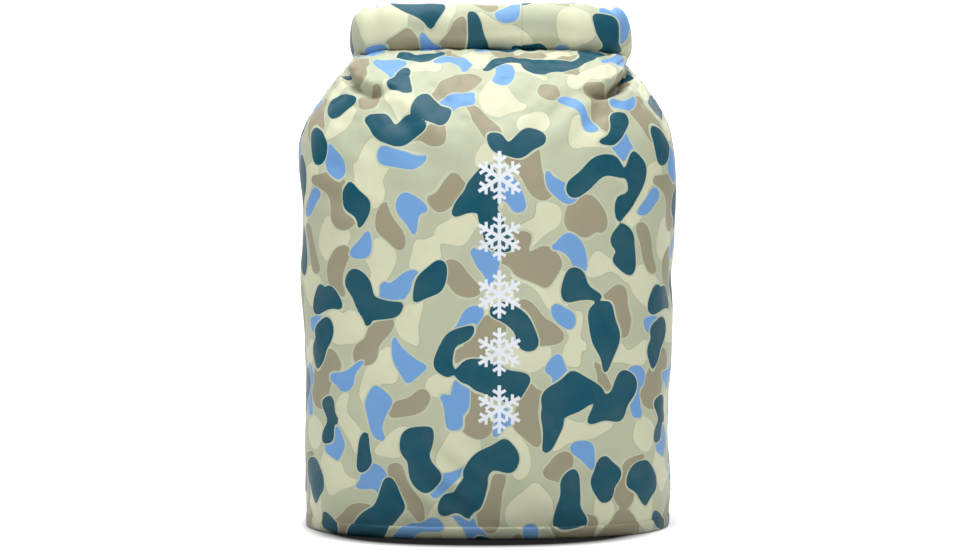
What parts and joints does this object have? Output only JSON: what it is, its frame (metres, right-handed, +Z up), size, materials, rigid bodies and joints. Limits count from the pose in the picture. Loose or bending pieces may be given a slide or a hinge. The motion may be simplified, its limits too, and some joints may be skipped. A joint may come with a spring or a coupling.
{
  "type": "insulated cooler bag",
  "caption": "Soft roll-top insulated cooler bag with a printed coated-fabric body, rolled mouth buckled behind, rear anchor rings and an air valve.",
  "frame": {"origin": "centre of the flat base where the bag rests", "axes": "+Z up; -Y is the front, away from the rings and valve; +X is to the right seen from the front"},
  "size_m": [0.3002, 0.2279, 0.4135],
  "materials": {
    "printed_fabric": "matt printed coated fabric",
    "liner_fabric": "smooth coated liner fabric",
    "insulation_foam": "closed-cell foam",
    "patch_fabric": "heavy coated fabric, welded",
    "webbing": "woven webbing",
    "hard_plastic": "fine moulded texture",
    "valve_plastic": "fine moulded texture",
    "seal_rubber": "smooth",
    "stiffener_plastic": "smooth sheet",
    "ring_metal": "satin"
  },
  "bodies": {
    "bag": {"outer_wall": "printed_fabric", "wall_insulation": "insulation_foam", "base_insulation": "insulation_foam", "liner_wall": "liner_fabric", "liner_base": "liner_fabric", "base_panel": "printed_fabric", "anchor_patch_upper": "patch_fabric", "anchor_patch_lower": "patch_fabric", "anchor_webbing_upper": "webbing", "anchor_webbing_lower": "webbing", "valve_patch": "patch_fabric", "valve_body": "valve_plastic", "valve_seal": "seal_rubber"},
    "rolled_top": {"rolled_collar": "printed_fabric", "mouth_stiffener": "stiffener_plastic", "closure_webbing_left": "webbing", "closure_webbing_right": "webbing", "buckle_socket": "hard_plastic"},
    "plug": {"buckle_plug": "hard_plastic"},
    "prong_upper": {"buckle_prong_upper": "hard_plastic"},
    "prong_lower": {"buckle_prong_lower": "hard_plastic"},
    "ring_upper": {"d_ring_upper": "ring_metal"},
    "ring_lower": {"d_ring_lower": "ring_metal"},
    "stem": {"valve_stem": "valve_plastic"},
    "knob": {"valve_knob": "valve_plastic"}
  },
  "joints": [
    {"name": "collar_tip", "type": "hinge", "parent": "bag", "child": "rolled_top", "pos_m": [0, -0.026, 0.373], "axis": [1, 0, 0], "range_deg": [0, 30]},
    {"name": "buckle_release", "type": "slide", "parent": "rolled_top", "child": "plug", "axis": [-1, 0, 0], "range_m": [0, 0.022]},
    {"name": "prong_upper_press", "type": "hinge", "parent": "plug", "child": "prong_upper", "pos_m": [0.0006, 0.071, 0.4028], "axis": [0, 1, 0], "range_deg": [0, 6], "stiffness_Nm_per_rad": 0.05},
    {"name": "prong_lower_press", "type": "hinge", "parent": "plug", "child": "prong_lower", "pos_m": [0.0006, 0.071, 0.3842], "axis": [0, 1, 0], "range_deg": [-6, 0], "stiffness_Nm_per_rad": 0.05},
    {"name": "ring_upper_swing", "type": "hinge", "parent": "bag", "child": "ring_upper", "pos_m": [0, 0.11278, 0.25], "axis": [1, 0, 0], "range_deg": [0, 150]},
    {"name": "ring_lower_swing", "type": "hinge", "parent": "bag", "child": "ring_lower", "pos_m": [0, 0.11298, 0.052], "axis": [1, 0, 0], "range_deg": [0, 150]},
    {"name": "valve_stem_lift", "type": "slide", "parent": "bag", "child": "stem", "axis": [0.2239, 0.9746, 0], "range_m": [0, 0.003]},
    {"name": "valve_knob_turn", "type": "hinge", "parent": "stem", "child": "knob", "pos_m": [0.066, 0.10192, 0.07], "axis": [0.2239, 0.9746, 0], "range_deg": [0, 360]}
  ],
  "couplings": [
    {"joint": "prong_lower_press", "follows": "prong_upper_press", "ratio": -1},
    {"joint": "valve_stem_lift", "follows": "valve_knob_turn", "m_per_rad": 0.000477}
  ]
}
